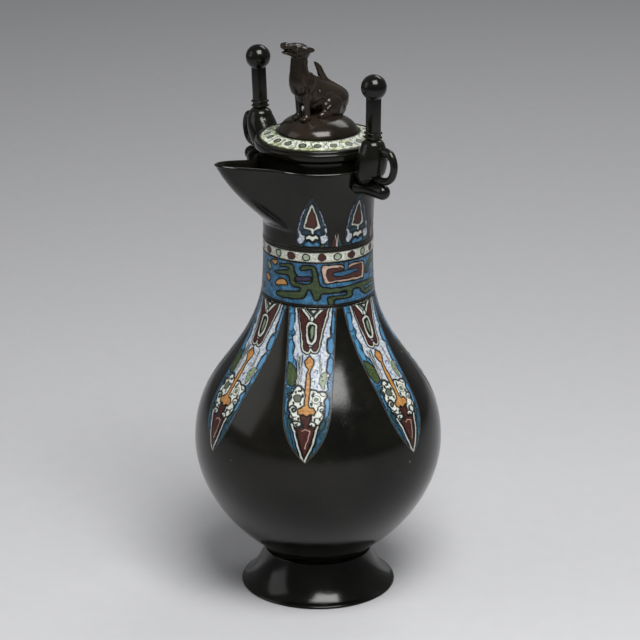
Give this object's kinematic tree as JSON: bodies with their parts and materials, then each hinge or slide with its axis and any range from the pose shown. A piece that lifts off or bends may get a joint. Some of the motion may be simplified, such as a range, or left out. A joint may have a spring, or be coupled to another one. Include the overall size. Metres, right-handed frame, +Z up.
{
  "type": "lidded ewer",
  "caption": "Lidded bronze pouring jug with a flared foot, round body, long pouring lip, ball-topped side posts, enamel bands and leaves, and a lift-off lid with a seated beast knob.",
  "frame": {"origin": "centre of the foot's standing face, on the body's axis", "axes": "+Z up along the body's axis, pouring lip towards -X, posts towards -Y and +Y"},
  "size_m": [0.185, 0.1818, 0.4169],
  "materials": {
    "bronze": "dark olive brown patina, waxed and glossy",
    "bronze_brown": "warm brown patina, waxed and glossy",
    "enamel_blue": "opaque blue enamel with green scrolls, fine pits",
    "enamel_white": "opaque off-white enamel with dots, fine pits",
    "enamel_leaf": "opaque enamels in lavender, white, maroon, ochre, green and blue, fine pits"
  },
  "bodies": {
    "jug": {"foot": "bronze", "base_plate": "bronze", "body": "bronze", "neck": "bronze", "mouth": "bronze", "lid_seat": "bronze", "bracket_near": "bronze", "bracket_far": "bronze", "boss_near": "bronze", "boss_far": "bronze", "loop_near": "bronze", "loop_far": "bronze", "post_near": "bronze", "post_far": "bronze", "scroll_band": "enamel_blue", "bead_band": "enamel_white", "body_leaf_1": "enamel_leaf", "body_leaf_2": "enamel_leaf", "body_leaf_3": "enamel_leaf", "body_leaf_4": "enamel_leaf", "body_leaf_5": "enamel_leaf", "body_leaf_6": "enamel_leaf", "body_leaf_7": "enamel_leaf", "neck_leaf_1": "enamel_leaf", "neck_leaf_2": "enamel_leaf", "neck_leaf_3": "enamel_leaf", "neck_leaf_4": "enamel_leaf", "neck_leaf_5": "enamel_leaf", "neck_leaf_6": "enamel_leaf", "neck_chip_1": "enamel_leaf", "neck_chip_2": "enamel_leaf", "neck_chip_3": "enamel_leaf", "neck_chip_4": "enamel_leaf", "neck_chip_5": "enamel_leaf"},
    "lid": {"lid": "bronze", "lid_enamel": "enamel_white", "lid_dome": "bronze_brown", "finial_pin": "bronze_brown", "finial_beast": "bronze_brown"}
  },
  "joints": [
    {"name": "lid_lift", "type": "slide", "parent": "jug", "child": "lid", "axis": [0, 0, 1], "range_m": [0, 0.1]}
  ]
}
